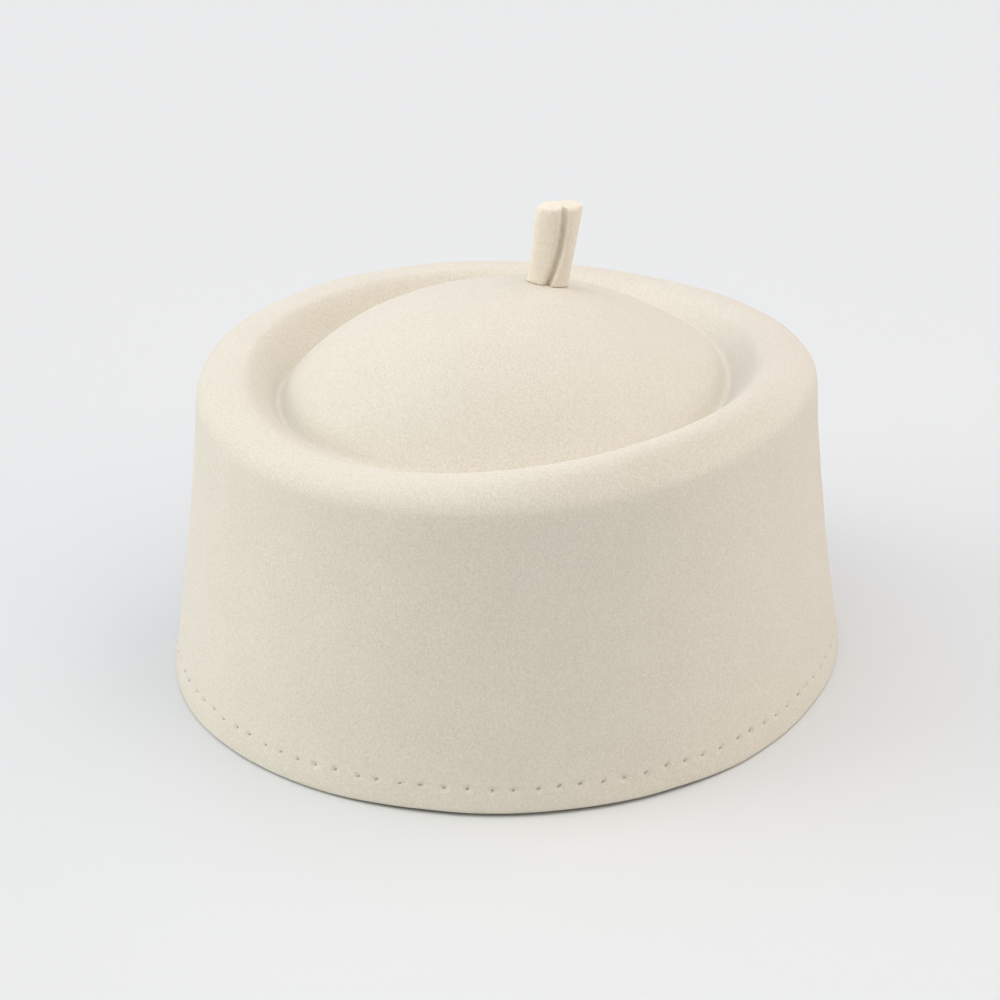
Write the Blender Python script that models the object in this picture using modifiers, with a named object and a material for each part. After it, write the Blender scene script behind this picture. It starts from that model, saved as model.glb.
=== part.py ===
"""A pillbox prayer cap of wool felt: one blocked felt body, and a short felt stalk on its domed crown.

Frame: metres, +Z up. The origin is on the surface that the cap rests on, under the middle of its length and
width. The brow is towards -Y, the back towards +Y, and the wearer's left is +X.
"""

import math
from collections import namedtuple

import bmesh
import bpy
from mathutils import Vector

# Outside sizes of the felt body. The crest is the highest line of the rim, and the dome rises above it.
CAP_LENGTH = 0.193
CAP_WIDTH = 0.180
CREST_HEIGHT = 0.0897
DOME_RISE = 0.0181
FELT = 0.002

# How far in front of the middle of the length the cap is widest, and the dome's peak in front of that line
WIDEST_FORWARD = 0.0070
PEAK_FORWARD = 0.0090

# The rim at the sides of the cap: how far the wall leans in, the shoulder, the roll behind it and its groove
FLARE = 0.0082
SHOULDER_WIDTH = 0.0149
SHOULDER_RISE = 0.0075
ROLL_WIDTH = 0.0088
GROOVE_DEPTH = 0.0100

# Roundness of the wall's flare, of the dome's crown and of the dome's foot
FLARE_BEND = 1.40
DOME_CROWN = 2.29
DOME_FOOT = 1.03

# The stalk, a strip of felt folded lengthwise. It stands behind the widest line, turned to one side.
STALK_HEIGHT = 0.0240
STALK_WIDTH = 0.0125
STALK_DEPTH = 0.0085
STALK_BACK = 0.0220
STALK_TURN = math.radians(40)
STALK_LEAN = math.radians(9)
STALK_TWIST = math.radians(12)
FOLD_DEPTH = 0.0026
FOLD_WIDTH = 0.0030
SEAT_GAP = 0.0003

# Fineness of the meshes. The dome's rings lie closer together at its foot, by this power.
BODY_SIDES = 60
WALL_RINGS = 8
SHOULDER_RINGS = 6
ROLL_RINGS = 7
DOME_RINGS = 10
DOME_CLOSING = 1.35
STALK_SIDES = 40

# The rim changes round the cap. Each column is a share of the size that it is named for, in the order brow,
# side, back: the flare, shoulder and roll are widths, the crest and groove are heights.
Quarter = namedtuple("Quarter", "flare shoulder roll crest groove")
BROW = Quarter(flare=1.16, shoulder=0.70, roll=1.11, crest=0.952, groove=0.38)
SIDE = Quarter(flare=1.00, shoulder=1.00, roll=1.00, crest=1.000, groove=1.00)
BACK = Quarter(flare=0.93, shoulder=1.05, roll=1.06, crest=0.930, groove=0.25)

# Sections of the stalk from its seat to its tip. Each column is a share: height of the stalk's height, width and
# depth of its width and depth, fold of the fold's depth, and aside of half the width. Aside says how far the
# fold lies from the middle.
Slice = namedtuple("Slice", "height width depth fold aside")
STALK_SLICES = (
    Slice(height=0.000, width=1.02, depth=1.06, fold=0.85, aside=-0.02),
    Slice(height=0.070, width=0.95, depth=0.98, fold=1.00, aside=0.00),
    Slice(height=0.300, width=0.93, depth=0.94, fold=1.00, aside=0.05),
    Slice(height=0.550, width=0.95, depth=0.95, fold=1.00, aside=0.11),
    Slice(height=0.780, width=1.00, depth=0.97, fold=1.00, aside=0.17),
    Slice(height=0.920, width=1.01, depth=0.97, fold=0.95, aside=0.20),
    Slice(height=0.965, width=0.99, depth=0.94, fold=0.90, aside=0.21),
    Slice(height=0.990, width=0.94, depth=0.86, fold=0.80, aside=0.21),
    Slice(height=1.000, width=0.84, depth=0.72, fold=0.65, aside=0.21),
)

# A ring of the body: its half lengths to the brow, side and back, its heights there, and how far its widest
# line lies in front of the cap's.
Ring = namedtuple("Ring", "halves heights forward")


def clear_scene():
    for obj in list(bpy.data.objects):
        bpy.data.objects.remove(obj, do_unlink=True)


def collection(name):
    made = bpy.data.collections.new(name)
    bpy.context.scene.collection.children.link(made)
    return made


def material(name, colour, roughness):
    made = bpy.data.materials.new(name)
    made.use_nodes = True
    shader = made.node_tree.nodes["Principled BSDF"]
    shader.inputs["Base Color"].default_value = (*colour, 1.0)
    shader.inputs["Roughness"].default_value = roughness
    shader.inputs["Metallic"].default_value = 0.0
    return made


def loft(name, rings, close_start, home, finish):
    """A skin over closed rings with as many points each. The last ring is closed to a point at its middle."""
    bm = bmesh.new()
    loops = [[bm.verts.new(point) for point in ring] for ring in rings]
    sides = len(loops[0])
    for low, high in zip(loops, loops[1:]):
        for i in range(sides):
            j = (i + 1) % sides
            bm.faces.new((low[i], low[j], high[j], high[i]))
    tip = bm.verts.new(sum((vertex.co for vertex in loops[-1]), Vector()) / sides)
    for i in range(sides):
        bm.faces.new((loops[-1][i], loops[-1][(i + 1) % sides], tip))
    if close_start:
        seat = bm.verts.new(sum((vertex.co for vertex in loops[0]), Vector()) / sides)
        for i in range(sides):
            bm.faces.new((loops[0][(i + 1) % sides], loops[0][i], seat))
    mesh = bpy.data.meshes.new(name)
    bm.to_mesh(mesh)
    bm.free()
    mesh.shade_smooth()
    mesh.materials.append(finish)
    obj = bpy.data.objects.new(name, mesh)
    home.objects.link(obj)
    return obj


def mixed(start, end, share):
    return tuple(a + (b - a) * share for a, b in zip(start, end))


def inset(halves, widths):
    return tuple(half - width for half, width in zip(halves, widths))


def sizes_of(size, column):
    return tuple(size * getattr(quarter, column) for quarter in (BROW, SIDE, BACK))


def ring_points(ring):
    """Points of one ring, from the brow round by the wearer's left, with heights that pass smoothly round it."""
    brow, side, back = ring.halves
    points = []
    for i in range(BODY_SIDES):
        angle = 2 * math.pi * i / BODY_SIDES
        ahead = math.cos(angle)
        reach = brow if ahead > 0 else back
        end = ring.heights[0] if ahead > 0 else ring.heights[2]
        x = side * math.sin(angle)
        y = -WIDEST_FORWARD - ring.forward - reach * ahead
        z = ring.heights[1] + (end - ring.heights[1]) * ahead**2
        points.append((x, y, z))
    return points


def body_rings():
    """Rings of the felt's outer face: up the flared wall, over the shoulder, down the roll, over the dome."""
    edge = (CAP_LENGTH / 2 - WIDEST_FORWARD, CAP_WIDTH / 2, CAP_LENGTH / 2 + WIDEST_FORWARD)
    wall_top = inset(edge, sizes_of(FLARE, "flare"))
    crest = inset(wall_top, sizes_of(SHOULDER_WIDTH, "shoulder"))
    foot = inset(crest, sizes_of(ROLL_WIDTH, "roll"))
    crest_heights = sizes_of(CREST_HEIGHT, "crest")
    wall_heights = inset(crest_heights, (SHOULDER_RISE,) * 3)
    groove_heights = inset(crest_heights, sizes_of(GROOVE_DEPTH, "groove"))
    stand = (FELT,) * 3
    peak = (CREST_HEIGHT + DOME_RISE,) * 3

    # The cut edge stands straight for one thickness, so that the cap rests flat on it.
    rings = [Ring(edge, (0.0,) * 3, 0), Ring(edge, stand, 0)]
    for i in range(1, WALL_RINGS + 1):
        up = i / WALL_RINGS
        halves = mixed(edge, wall_top, 1 - (1 - up) ** FLARE_BEND)
        rings.append(Ring(halves, mixed(stand, wall_heights, up), 0))
    for i in range(1, SHOULDER_RINGS + 1):
        turn = math.pi / 2 * i / SHOULDER_RINGS
        halves = mixed(wall_top, crest, 1 - math.cos(turn))
        rings.append(Ring(halves, mixed(wall_heights, crest_heights, math.sin(turn)), 0))
    for i in range(1, ROLL_RINGS + 1):
        across = i / ROLL_RINGS
        fall = (1 - math.cos(math.pi * across)) / 2
        heights = mixed(crest_heights, groove_heights, fall)
        rings.append(Ring(mixed(crest, foot, across), heights, 0))
    for i in range(1, DOME_RINGS):
        inward = (i / DOME_RINGS) ** DOME_CLOSING
        out = 1 - inward
        halves = tuple(half * out for half in foot)
        heights = mixed(groove_heights, peak, (1 - out**DOME_CROWN) ** DOME_FOOT)
        rings.append(Ring(halves, heights, PEAK_FORWARD * inward))
    return [ring_points(ring) for ring in rings]


def felt_body(home):
    """The felt, blocked in one piece and left as thick as the cloth all over."""
    finish = material("cream_felt", (0.80, 0.74, 0.62), 0.95)
    body = loft("felt_body", body_rings(), False, home, finish)
    wall = body.modifiers.new("Felt thickness", "SOLIDIFY")
    wall.thickness = FELT
    wall.offset = -1
    wall.use_even_offset = True
    return body


def stalk_slice(piece):
    """One section of the stalk before it leans: an oval with the fold pressed in before and behind."""
    points = []
    turn = STALK_TURN + STALK_TWIST * (piece.height - 0.5)
    for i in range(STALK_SIDES):
        angle = 2 * math.pi * i / STALK_SIDES
        across = STALK_WIDTH / 2 * piece.width * math.cos(angle)
        deep = STALK_DEPTH / 2 * piece.depth * math.sin(angle)
        from_fold = (across - STALK_WIDTH / 2 * piece.aside) / (FOLD_WIDTH / 2)
        deep -= math.copysign(FOLD_DEPTH * piece.fold * math.exp(-(from_fold**2)), deep)
        x = across * math.cos(turn) - deep * math.sin(turn)
        y = across * math.sin(turn) + deep * math.cos(turn)
        points.append(Vector((x, y, STALK_HEIGHT * piece.height)))
    return points


def stalk(home, body):
    """The stalk leans to one side and is cut at its foot to the dome that it stands on."""
    bpy.context.view_layer.update()
    dome = body.evaluated_get(bpy.context.evaluated_depsgraph_get())
    sky = CREST_HEIGHT + DOME_RISE + STALK_HEIGHT

    def dome_height(x, y):
        return dome.ray_cast(Vector((x, y, sky)), Vector((0, 0, -1)))[1].z

    foot_y = STALK_BACK - WIDEST_FORWARD
    foot = Vector((0.0, foot_y, dome_height(0.0, foot_y) + SEAT_GAP))
    rings = []
    for piece in STALK_SLICES:
        lean = math.tan(STALK_LEAN) * STALK_HEIGHT * piece.height
        shift = Vector((lean * math.cos(STALK_TURN), lean * math.sin(STALK_TURN), 0))
        rings.append([foot + shift + point for point in stalk_slice(piece)])
    for point in rings[0]:
        point.z = dome_height(point.x, point.y) + SEAT_GAP
    finish = material("stalk_felt", (0.72, 0.60, 0.44), 0.95)
    return loft("stalk", rings, True, home, finish)


clear_scene()
cap_parts = collection("felt_pillbox_prayer_cap")
stalk(cap_parts, felt_body(cap_parts))
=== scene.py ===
"""The looks of a felt pillbox prayer cap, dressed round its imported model.

Metres, +Z up. The brow is towards -Y, the back towards +Y, and the wearer's left is +X.
"""

import math
import random

import bpy
import numpy as np
from mathutils import Matrix, Vector


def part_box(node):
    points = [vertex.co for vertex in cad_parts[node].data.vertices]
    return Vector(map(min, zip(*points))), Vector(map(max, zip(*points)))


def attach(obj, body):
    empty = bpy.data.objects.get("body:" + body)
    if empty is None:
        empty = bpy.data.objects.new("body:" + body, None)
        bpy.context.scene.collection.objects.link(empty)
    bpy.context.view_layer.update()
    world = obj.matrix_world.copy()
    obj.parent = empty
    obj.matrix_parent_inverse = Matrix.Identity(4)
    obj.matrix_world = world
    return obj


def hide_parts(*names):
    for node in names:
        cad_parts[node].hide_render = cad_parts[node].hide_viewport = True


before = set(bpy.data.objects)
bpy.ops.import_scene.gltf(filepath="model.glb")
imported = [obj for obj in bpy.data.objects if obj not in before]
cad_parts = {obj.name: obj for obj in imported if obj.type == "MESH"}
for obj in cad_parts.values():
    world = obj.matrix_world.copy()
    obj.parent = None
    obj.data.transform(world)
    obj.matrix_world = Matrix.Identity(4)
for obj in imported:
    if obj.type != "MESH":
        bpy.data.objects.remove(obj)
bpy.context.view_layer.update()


# The camera
# It looks down on the cap from in front and from the wearer's left, so that the brow points to the left
# and towards it. A long lens, rolled by a hair, from one metre away.
CAMERA_TURN = math.radians(40)
CAMERA_RISE = math.radians(25.4)
CAMERA_ROLL = math.radians(-0.44)
CAMERA_DISTANCE = 1.0
CAMERA_LENS = 131.5
CAMERA_AIM = Vector((0.0008, -0.0064, 0.0475))

aimed = Matrix.Rotation(CAMERA_TURN, 4, "Z") @ Matrix.Rotation(math.pi / 2 - CAMERA_RISE, 4, "X")
bpy.ops.object.camera_add()
camera = bpy.context.object
camera.name = "photo_camera"
camera.data.lens = CAMERA_LENS
camera.data.clip_start = 0.01
camera.matrix_world = (
    Matrix.Translation(CAMERA_AIM)
    @ aimed
    @ Matrix.Translation((0, 0, CAMERA_DISTANCE))
    @ Matrix.Rotation(CAMERA_ROLL, 4, "Z")
)
bpy.context.scene.camera = camera


# The floor and the light
# A pale, cool, endless table. Soft light falls from above and from both sides, so the dome, the rolled rim
# and the sides are bright, the wall that faces the camera is in soft shade, and hardly a shadow falls.
FLOOR_SIZE = 8.0
FLOOR_COLOUR = (0.71, 0.735, 0.757, 1.0)
SKY_COLOUR = (0.99, 0.99, 1.0, 1.0)
SKY_STRENGTH = 0.12

bpy.ops.mesh.primitive_plane_add(size=FLOOR_SIZE)
table_top = bpy.context.object
table_top.name = "table_top"
table_paint = bpy.data.materials.new("table_paint")
table_paint.use_nodes = True
table_shader = table_paint.node_tree.nodes["Principled BSDF"]
table_shader.inputs["Base Color"].default_value = FLOOR_COLOUR
table_shader.inputs["Roughness"].default_value = 0.7
table_shader.inputs["Specular IOR Level"].default_value = 0.2
table_top.data.materials.append(table_paint)


def soft_sun(name, place, strength, spread, colour):
    """Even light from one side of the sky, so soft that its shadows melt. Its place is right, away and up."""
    bpy.ops.object.light_add(type="SUN")
    lamp = bpy.context.object
    lamp.name = name
    lamp.data.energy = strength
    lamp.data.angle = spread
    lamp.data.color = colour
    stand = Matrix.Rotation(CAMERA_TURN, 3, "Z") @ Vector(place)
    lamp.location = stand
    lamp.rotation_euler = (-stand).to_track_quat("-Z", "Y").to_euler()


soft_sun("top_light", (-0.25, 0.3, 1.0), 1.32, math.radians(80), (0.78, 0.83, 1.0))
soft_sun("front_light", (-0.1, -0.5, 1.15), 1.16, math.radians(80), (1.0, 0.96, 0.81))
soft_sun("left_light", (-1.0, 0.0, 0.12), 2.15, math.radians(60), (1.0, 0.97, 0.86))
soft_sun("right_light", (1.0, 0.0, 0.6), 1.76, math.radians(90), (1.0, 0.88, 0.79))

world = bpy.data.worlds.new("studio_air")
bpy.context.scene.world = world
world.use_nodes = True
world.node_tree.nodes["Background"].inputs["Color"].default_value = SKY_COLOUR
world.node_tree.nodes["Background"].inputs["Strength"].default_value = SKY_STRENGTH
bpy.context.scene.view_settings.view_transform = "Standard"


# The felt hood
# One hood of wool felt, wetted, blocked over a form and left as thick as the cloth all over, with a rim that
# rolls in to a pressed groove and a raised dome. Its lower edge is cut. It is the CAD solid, smoothed.
HOOD_CREAM = (0.80, 0.765, 0.685)
HOOD_SHADE = (0.695, 0.65, 0.565)
HOOD_MOTTLE = 0.13
HOOD_NAP = 0.55
EDGE_HEIGHT = 0.0005
EDGE_CREASE = 0.25
HOOD_LEVELS = 2
HAND_SCALE = 0.026
HAND_DEPTH = 0.0007

# The sizes of the felt's mottling, as noise scales, and the lesser share in its colour and in its bump
GRAIN_SCALE = 1700.0
FIBRE_SCALE = 5200.0
CLOUD_SCALE = 75.0
CLOUDS_IN_COLOUR = 0.08
FIBRES_IN_BUMP = 0.3
BUMP_HEIGHT = 0.0004

# The groove at the dome's foot: its half lengths to the sides, brow and back, and how far in front of the
# middle of the cap's length it is widest. A reach of 1 lies on the groove, and a greater one outside it.
FOOT_SIDE = 0.0581
FOOT_BROW = 0.0598
FOOT_BACK = 0.0709
FOOT_FORWARD = 0.0070

# The crease in the groove, pressed hardest at the brow's right and at the back's left. A turn is counted
# from the brow, round by the wearer's left, and a focus says how closely the pressing keeps to its place.
CREASE_REACH = 0.990
CREASE_SPREAD = 0.030
CREASE_ALL_ROUND = 0.0006
CREASE_RIGHT_BROW = 0.0017
CREASE_LEFT_BACK = 0.0015
RIGHT_BROW_TURN = math.radians(-40)
RIGHT_BROW_FOCUS = 3
LEFT_BACK_TURN = math.radians(130)
LEFT_BACK_FOCUS = 6

# On the wearer's left the rim's crest lies further out and a little higher than on the right, so that the
# shoulder is rounder there. The shift dies out inside and outside the crest, and to the brow and the back.
CREST_REACH = 1.15
CREST_INSIDE = 0.14
CREST_OUTSIDE = 0.27
CREST_OUT = 0.0055
CREST_UP = 0.0036
CREST_TURN = math.radians(90)
CREST_TO_BROW = math.radians(95)
CREST_TO_BACK = math.radians(56)

# The cut edge lifts off the table by a little on the brow's left, and splays out there
LIFT = 0.0010
SPLAY = 0.0008
LIFT_TURN = math.radians(46)
LIFT_FOCUS = 3
LIFT_HEIGHT = 0.015
LIFT_FADE = 2


def felt_material(name, cream, warm, mottle, nap):
    """Pressed wool: a mottled grain of matted fibres over faint clouds, with a soft nap that takes light.

    cream and warm are the two colours that the grain mixes, mottle how far it mixes them, and nap the bump.
    """
    felt = bpy.data.materials.new(name)
    felt.use_nodes = True
    nodes = felt.node_tree.nodes
    links = felt.node_tree.links
    shader = nodes["Principled BSDF"]
    shader.inputs["Roughness"].default_value = 0.95
    shader.inputs["Specular IOR Level"].default_value = 0.15
    shader.inputs["Sheen Weight"].default_value = 0.25
    shader.inputs["Sheen Roughness"].default_value = 0.6
    shader.inputs["Sheen Tint"].default_value = (1.0, 0.98, 0.94, 1.0)
    place = nodes.new("ShaderNodeTexCoord")

    def cloud(scale, detail, roughness, distortion=0.0):
        noise = nodes.new("ShaderNodeTexNoise")
        noise.inputs["Scale"].default_value = scale
        noise.inputs["Detail"].default_value = detail
        noise.inputs["Roughness"].default_value = roughness
        noise.inputs["Distortion"].default_value = distortion
        links.new(place.outputs["Object"], noise.inputs["Vector"])
        return noise.outputs["Fac"]

    def sums(kind, first, second):
        math_node = nodes.new("ShaderNodeMath")
        math_node.operation = kind
        for socket, value in zip(math_node.inputs, (first, second)):
            if isinstance(value, (int, float)):
                socket.default_value = value
            else:
                links.new(value, socket)
        return math_node.outputs[0]

    def blend(main, lesser, share):
        return sums("ADD", sums("MULTIPLY", main, 1 - share), sums("MULTIPLY", lesser, share))

    grain = cloud(GRAIN_SCALE, 4.0, 0.65, 0.5)
    fibres = cloud(FIBRE_SCALE, 2.0, 0.6, 1.5)
    broad = cloud(CLOUD_SCALE, 2.0, 0.5)
    colours = nodes.new("ShaderNodeValToRGB")
    colours.color_ramp.elements[0].position = 0.5 - mottle
    colours.color_ramp.elements[0].color = (*warm, 1.0)
    colours.color_ramp.elements[1].position = 0.5 + mottle
    colours.color_ramp.elements[1].color = (*cream, 1.0)
    links.new(blend(grain, broad, CLOUDS_IN_COLOUR), colours.inputs["Fac"])
    links.new(colours.outputs["Color"], shader.inputs["Base Color"])
    bump = nodes.new("ShaderNodeBump")
    bump.inputs["Strength"].default_value = nap
    bump.inputs["Distance"].default_value = BUMP_HEIGHT
    links.new(blend(grain, fibres, FIBRES_IN_BUMP), bump.inputs["Height"])
    links.new(bump.outputs["Normal"], shader.inputs["Normal"])
    return felt


def towards(turn, direction, focus):
    """1 where the felt faces that direction, and less the further it turns away, to 0 at a quarter turn."""
    return max(0.0, math.cos(turn - direction)) ** focus


def hump(distance):
    """1 at a distance of 0, and softly down to 0 at a distance of 1 or more."""
    return (1 + math.cos(math.pi * min(abs(distance), 1.0))) / 2


hood = bpy.data.objects.new("felt_hood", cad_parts["felt_body"].data.copy())
bpy.context.scene.collection.objects.link(hood)
bpy.ops.object.select_all(action="DESELECT")
hood.select_set(True)
bpy.context.view_layer.objects.active = hood
bpy.ops.object.mode_set(mode="EDIT")
bpy.ops.mesh.select_all(action="SELECT")
bpy.ops.mesh.remove_doubles(threshold=0.000001)
bpy.ops.mesh.tris_convert_to_quads()
bpy.ops.mesh.select_all(action="DESELECT")
bpy.ops.object.mode_set(mode="OBJECT")
for edge in hood.data.edges:
    edge.select = all(hood.data.vertices[end].co.z < EDGE_HEIGHT for end in edge.vertices)
bpy.ops.object.mode_set(mode="EDIT")
bpy.ops.mesh.select_mode(type="EDGE")
bpy.ops.transform.edge_crease(value=EDGE_CREASE)
bpy.ops.object.mode_set(mode="OBJECT")
smooth = hood.modifiers.new("Blocked smooth", "SUBSURF")
smooth.levels = HOOD_LEVELS
smooth.render_levels = HOOD_LEVELS
bpy.ops.object.modifier_apply(modifier=smooth.name)
hand = bpy.data.textures.new("blocked_by_hand", "CLOUDS")
hand.noise_scale = HAND_SCALE
hand.noise_depth = 1
uneven = hood.modifiers.new("Blocked by hand", "DISPLACE")
uneven.texture = hand
uneven.strength = HAND_DEPTH
bpy.ops.object.modifier_apply(modifier=uneven.name)

# Press the crease, shift the crest and lift the cut edge
for corner in hood.data.vertices:
    ahead = -corner.co.y - FOOT_FORWARD
    turn = math.atan2(corner.co.x, ahead)
    reach = math.hypot(corner.co.x / FOOT_SIDE, ahead / (FOOT_BROW if ahead > 0 else FOOT_BACK))
    pressed = CREASE_ALL_ROUND
    pressed += CREASE_RIGHT_BROW * towards(turn, RIGHT_BROW_TURN, RIGHT_BROW_FOCUS)
    pressed += CREASE_LEFT_BACK * towards(turn, LEFT_BACK_TURN, LEFT_BACK_FOCUS)
    corner.co.z -= pressed * math.exp(-(((reach - CREASE_REACH) / CREASE_SPREAD) ** 2))
    from_crest = (reach - CREST_REACH) / (CREST_OUTSIDE if reach > CREST_REACH else CREST_INSIDE)
    from_left = (turn - CREST_TURN) / (CREST_TO_BACK if turn > CREST_TURN else CREST_TO_BROW)
    shifted = hump(from_crest) * hump(from_left)
    corner.co.x += CREST_OUT * shifted * math.sin(turn)
    corner.co.y -= CREST_OUT * shifted * math.cos(turn)
    corner.co.z += CREST_UP * shifted
    near_edge = max(0.0, 1 - corner.co.z / LIFT_HEIGHT) ** LIFT_FADE
    lifted = near_edge * towards(turn, LIFT_TURN, LIFT_FOCUS)
    corner.co.x += SPLAY * lifted * math.sin(turn)
    corner.co.y -= SPLAY * lifted * math.cos(turn)
    corner.co.z += LIFT * lifted

hood.data.shade_smooth()
hood.data.materials.clear()
hood.data.materials.append(felt_material("cream_felt", HOOD_CREAM, HOOD_SHADE, HOOD_MOTTLE, HOOD_NAP))
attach(hood, "root")
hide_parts("felt_body")


# The stitches
# One row of small prick stitches, in one thread, runs round the cap a little above its cut edge. Each shows
# outside as a short slanted bite in a dimple, and the thread runs on along the wall's inside to the next.
STITCH_RISE = 0.0074
STITCH_PITCH = 0.0060
STITCH_BITE = 0.0011
STITCH_SLANT = math.radians(14)
DIMPLE_LENGTH = 0.0009
DIMPLE_HEIGHT = 0.0007
DIMPLE_DEPTH = 0.0006
THREAD_RADIUS = 0.00026
# The thread's dark grey-brown is darker than the felt. It is partly the thread's own colour and partly
# painted shade of the dimples and needle holes it lies in.
THREAD_AND_HOLE_SHADE_COLOUR = (0.44, 0.41, 0.33)
FELT = 0.002

# How unevenly they are sewn: a slip along the row as a share of the pitch, a slip up or down, and one in the
# slant. Each dimple's depth and each bite's length lies between two shares of its size.
SLIP_ALONG = 0.09
SLIP_UP = 0.00035
SLIP_SLANT = 0.35
DEPTH_SHARES = (0.45, 1.3)
BITE_SHARES = (0.6, 1.15)

# From a bite's middle, the thread is halfway through the wall, and then past its inner face, at these shares
# of half a bite. It stands proud of the dimple, and lies off the inner face, by these shares of its radius.
THROUGH = 1.3
INSIDE = 1.8
PROUD = 0.6
OFF_WALL = 0.5
OFF_WALL_BETWEEN = 0.8

# The band of the wall that is cut finer for the dimples, and the places at which the row is measured
BAND_HALF = 0.0030
BAND_CUTS = 4
AROUND = 720

random.seed(7)
hood_low, hood_high = (Vector(corner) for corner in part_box("felt_body"))
middle = (hood_low + hood_high) / 2
outside = hood_high.y * 2


def wall_point(turn):
    """Where the outer face is at the stitches' height in that direction from the middle, and its normal."""
    away = Vector((math.sin(turn), -math.cos(turn), 0))
    start = Vector((middle.x, middle.y, STITCH_RISE)) + away * outside
    return hood.ray_cast(start, -away)[1:3]


turns = np.linspace(0, 2 * math.pi, AROUND + 1)
places = np.array([wall_point(turn)[0] for turn in turns])
travelled = np.concatenate(([0.0], np.cumsum(np.linalg.norm(np.diff(places, axis=0), axis=1))))
stitch_count = round(travelled[-1] / STITCH_PITCH)
pitch = travelled[-1] / stitch_count

bpy.ops.object.mode_set(mode="EDIT")
bpy.ops.mesh.select_all(action="DESELECT")
bpy.ops.mesh.select_mode(type="FACE")
bpy.ops.object.mode_set(mode="OBJECT")
for face in hood.data.polygons:
    outward = face.normal.dot(face.center - Vector((middle.x, middle.y, face.center.z))) > 0
    face.select = outward and STITCH_RISE - BAND_HALF < face.center.z < STITCH_RISE + BAND_HALF
bpy.ops.object.mode_set(mode="EDIT")
bpy.ops.mesh.subdivide(number_cuts=BAND_CUTS)
bpy.ops.object.mode_set(mode="OBJECT")

corners = np.empty(len(hood.data.vertices) * 3)
hood.data.vertices.foreach_get("co", corners)
corners = corners.reshape(-1, 3)
thread_route = []
for i in range(stitch_count):
    along = pitch * (i + random.uniform(-SLIP_ALONG, SLIP_ALONG))
    turn = float(np.interp(along % travelled[-1], travelled, turns))
    place, normal = wall_point(turn)
    place += Vector((0, 0, random.uniform(-SLIP_UP, SLIP_UP)))
    side = Vector((0, 0, 1)).cross(normal).normalized()
    up = normal.cross(side)
    slant = STITCH_SLANT + random.uniform(-SLIP_SLANT, SLIP_SLANT)
    run = side * math.cos(slant) + up * math.sin(slant)
    rise = normal.cross(run)
    depth = DIMPLE_DEPTH * random.uniform(*DEPTH_SHARES)
    offsets = corners - np.array(place)
    across = offsets @ np.array(run) / DIMPLE_LENGTH
    upward = offsets @ np.array(rise) / DIMPLE_HEIGHT
    inward = offsets @ np.array(normal)
    near = np.exp(-(across**2) - upward**2) * (inward > -FELT / 2)
    corners -= np.array(normal) * (near * depth)[:, None]
    half = STITCH_BITE / 2 * random.uniform(*BITE_SHARES)
    for step, sunk in (
        (-half * THROUGH, FELT / 2),
        (-half, depth),
        (0.0, depth - THREAD_RADIUS * PROUD),
        (half, depth),
        (half * THROUGH, FELT / 2),
        (half * INSIDE, FELT + THREAD_RADIUS * OFF_WALL),
        (pitch / 2, FELT + THREAD_RADIUS * OFF_WALL_BETWEEN),
        (pitch - half * INSIDE, FELT + THREAD_RADIUS * OFF_WALL),
    ):
        if abs(step) <= half * THROUGH:
            thread_route.append(place + run * step - normal * sunk)
        else:
            ahead, ahead_normal = wall_point(turn + 2 * math.pi * step / travelled[-1])
            thread_route.append(ahead - ahead_normal * sunk)
corners[:, 2] = np.maximum(corners[:, 2], 0)
hood.data.vertices.foreach_set("co", corners.ravel())
hood.data.update()

bpy.ops.object.select_all(action="DESELECT")
bpy.ops.mesh.primitive_circle_add(vertices=len(thread_route), radius=hood_high.y)
thread = bpy.context.object
thread.name = "edge_thread"
for corner, place in zip(thread.data.vertices, thread_route):
    corner.co = place
bpy.ops.object.convert(target="CURVE")
thread.data.bevel_depth = THREAD_RADIUS
thread.data.bevel_resolution = 1
bpy.ops.object.convert(target="MESH")
thread = bpy.context.object
thread.data.shade_smooth()
thread_and_hole_shade_finish = bpy.data.materials.new("edge_thread")
thread_and_hole_shade_finish.use_nodes = True
thread_shader = thread_and_hole_shade_finish.node_tree.nodes["Principled BSDF"]
# The thread's colour carries painted shade of the stitch dimples and needle holes, on top of the thread's own
# colour.
thread_shader.inputs["Base Color"].default_value = (*THREAD_AND_HOLE_SHADE_COLOUR, 1.0)
thread_shader.inputs["Roughness"].default_value = 0.8
thread.data.materials.clear()
thread.data.materials.append(thread_and_hole_shade_finish)
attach(thread, "root")


# The stalk
# A short strip of thicker, tan felt, folded lengthwise so that its two long edges meet in a slit at the
# front. It is sewn upright on the dome, behind the middle, and leans to one side.
STALK_TAN = (0.95, 0.89, 0.79)
STALK_SHADE = (0.86, 0.79, 0.67)
STALK_MOTTLE = 0.13
STALK_NAP = 0.8
STALK_HEIGHT = 0.0231
STALK_WIDTH = 0.0124
STALK_DEPTH = 0.0086
STALK_PLACE = Vector((0.0, 0.0150, 0.0))
STALK_TURN = math.radians(40)
STALK_LEAN = math.radians(9)
STALK_TWIST = math.radians(19)
STALK_SINK = 0.0002
STALK_SIDES = 96
STALK_LEVELS = 2
FOOT_SHARE = 0.3
RUFFLE_DEPTH = 0.00025
RUFFLE_SCALE = 0.0010

# The slit in front and the fold behind. The points round a section crowd towards the slit. The slit bows to
# one side along part of a half wave, from its start there over its span, so that one lobe is broader.
SLIT_DEPTH = 0.0024
SLIT_WIDTH = 0.0017
SLIT_CROWDING = 0.75
SLIT_BOW = 0.27
BOW_START = 0.1
BOW_SPAN = 0.8
BACK_FOLD_DEPTH = 0.0012
BACK_FOLD_WIDTH = 0.0032

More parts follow.
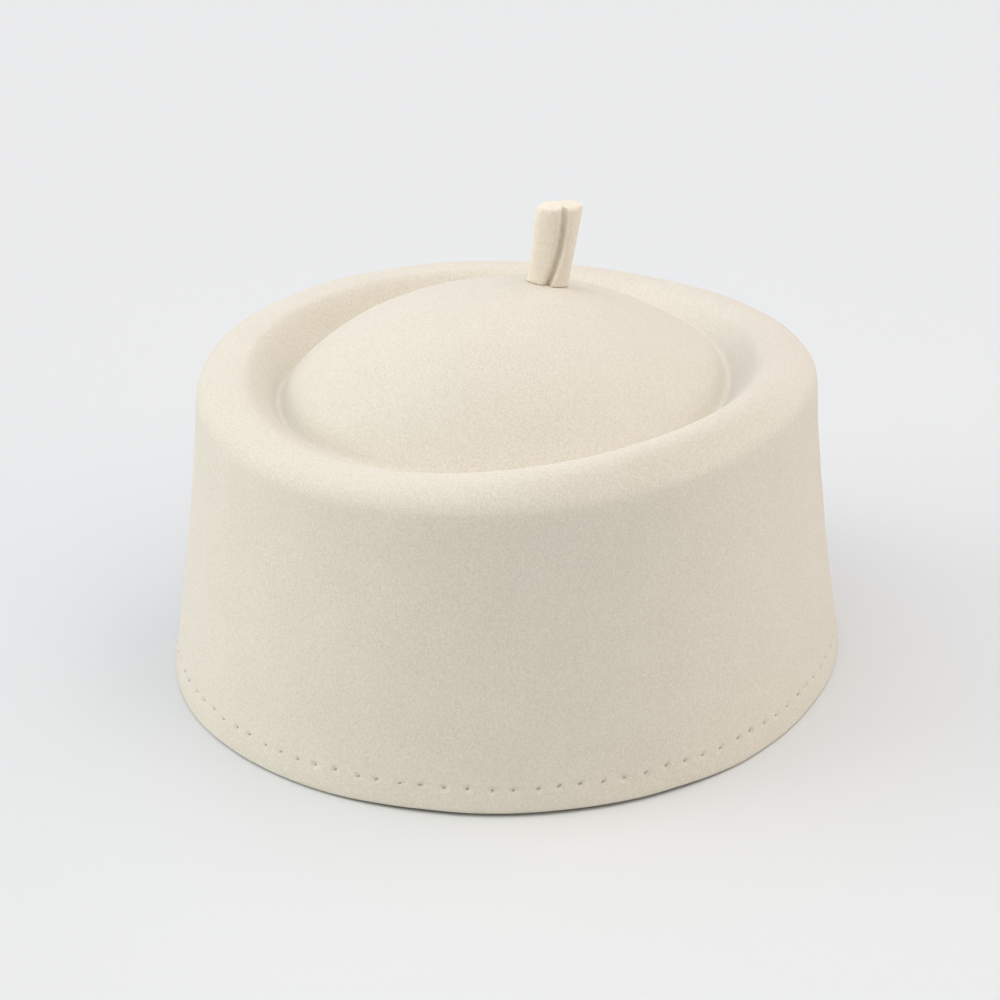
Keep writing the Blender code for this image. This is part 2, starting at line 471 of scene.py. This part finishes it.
# Each section's height, width and depth, as shares of the stalk's own, from its foot to its cut tip
STALK_SECTIONS = (
    (0.00, 0.93, 1.00),
    (0.04, 0.91, 0.98),
    (0.12, 0.90, 0.95),
    (0.30, 0.92, 0.94),
    (0.50, 0.95, 0.95),
    (0.68, 0.98, 0.96),
    (0.82, 1.01, 0.97),
    (0.92, 1.02, 0.98),
    (0.965, 1.00, 0.96),
    (0.988, 0.95, 0.90),
    (1.00, 0.87, 0.79),
    (1.004, 0.70, 0.60),
    (1.006, 0.40, 0.32),
)

bpy.ops.object.select_all(action="DESELECT")
bpy.ops.mesh.primitive_circle_add(vertices=STALK_SIDES, radius=STALK_WIDTH / 2)
stalk = bpy.context.object
stalk.name = "felt_stalk"
for i, corner in enumerate(stalk.data.vertices):
    share = 2 * math.pi * i / STALK_SIDES
    angle = share - SLIT_CROWDING * math.cos(share)
    across = STALK_WIDTH / 2 * STALK_SECTIONS[0][1] * math.cos(angle)
    deep = STALK_DEPTH / 2 * math.sin(angle)
    fold_depth, fold_width = (SLIT_DEPTH, SLIT_WIDTH) if deep < 0 else (BACK_FOLD_DEPTH, BACK_FOLD_WIDTH)
    deep -= math.copysign(fold_depth * math.exp(-((across / fold_width * 2) ** 2)), deep)
    corner.co = (across, deep, 0)

bpy.ops.object.mode_set(mode="EDIT")
bpy.ops.mesh.select_all(action="SELECT")
bpy.ops.mesh.edge_face_add()
bpy.ops.transform.rotate(value=STALK_TWIST / 2, orient_axis="Z", center_override=(0, 0, 0))
climb = Vector((math.tan(STALK_LEAN), 0, 1)) * STALK_HEIGHT
height, width, depth = STALK_SECTIONS[0]
for next_height, next_width, next_depth in STALK_SECTIONS[1:]:
    bpy.ops.mesh.extrude_region_move(TRANSFORM_OT_translate={"value": climb * (next_height - height)})
    centre = climb * next_height
    bpy.ops.transform.resize(value=(next_width / width, next_depth / depth, 1), center_override=centre)
    untwist = STALK_TWIST * (height - next_height)
    bpy.ops.transform.rotate(value=untwist, orient_axis="Z", center_override=centre)
    height, width, depth = next_height, next_width, next_depth
bpy.ops.mesh.merge(type="CENTER")
bpy.ops.mesh.select_all(action="SELECT")
bpy.ops.mesh.normals_make_consistent(inside=False)
bpy.ops.object.mode_set(mode="OBJECT")
rounded = stalk.modifiers.new("Soft strip", "SUBSURF")
rounded.levels = STALK_LEVELS
rounded.render_levels = STALK_LEVELS
bpy.ops.object.modifier_apply(modifier=rounded.name)
ruffle = bpy.data.textures.new("stalk_nap", "CLOUDS")
ruffle.noise_scale = RUFFLE_SCALE
ruffled = stalk.modifiers.new("Ruffled nap", "DISPLACE")
ruffled.texture = ruffle
ruffled.strength = RUFFLE_DEPTH
bpy.ops.object.modifier_apply(modifier=ruffled.name)

# Bow the slit, stand the stalk in its place, and let its foot follow the dome
for corner in stalk.data.vertices:
    height = corner.co.z / STALK_HEIGHT
    from_middle = (corner.co.x - climb.x * height) / (STALK_WIDTH / 2)
    bow = SLIT_BOW * math.sin(math.pi * (BOW_START + BOW_SPAN * min(max(height, 0.0), 1.0)))
    corner.co.x += STALK_WIDTH / 2 * bow * max(0.0, 1 - from_middle**2)

stalk.data.transform(Matrix.Translation(STALK_PLACE) @ Matrix.Rotation(STALK_TURN, 4, "Z"))
above = hood_high.z * 2
foot_height = hood.ray_cast(STALK_PLACE + Vector((0, 0, above)), Vector((0, 0, -1)))[1].z
for corner in stalk.data.vertices:
    dome_height = hood.ray_cast((corner.co.x, corner.co.y, above), (0, 0, -1))[1].z
    near_foot = max(0.0, 1 - corner.co.z / (STALK_HEIGHT * FOOT_SHARE))
    corner.co.z += foot_height + (dome_height - foot_height) * near_foot - STALK_SINK
stalk.data.shade_smooth()
stalk.data.materials.clear()
stalk.data.materials.append(felt_material("stalk_felt", STALK_TAN, STALK_SHADE, STALK_MOTTLE, STALK_NAP))
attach(stalk, "root")
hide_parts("stalk")
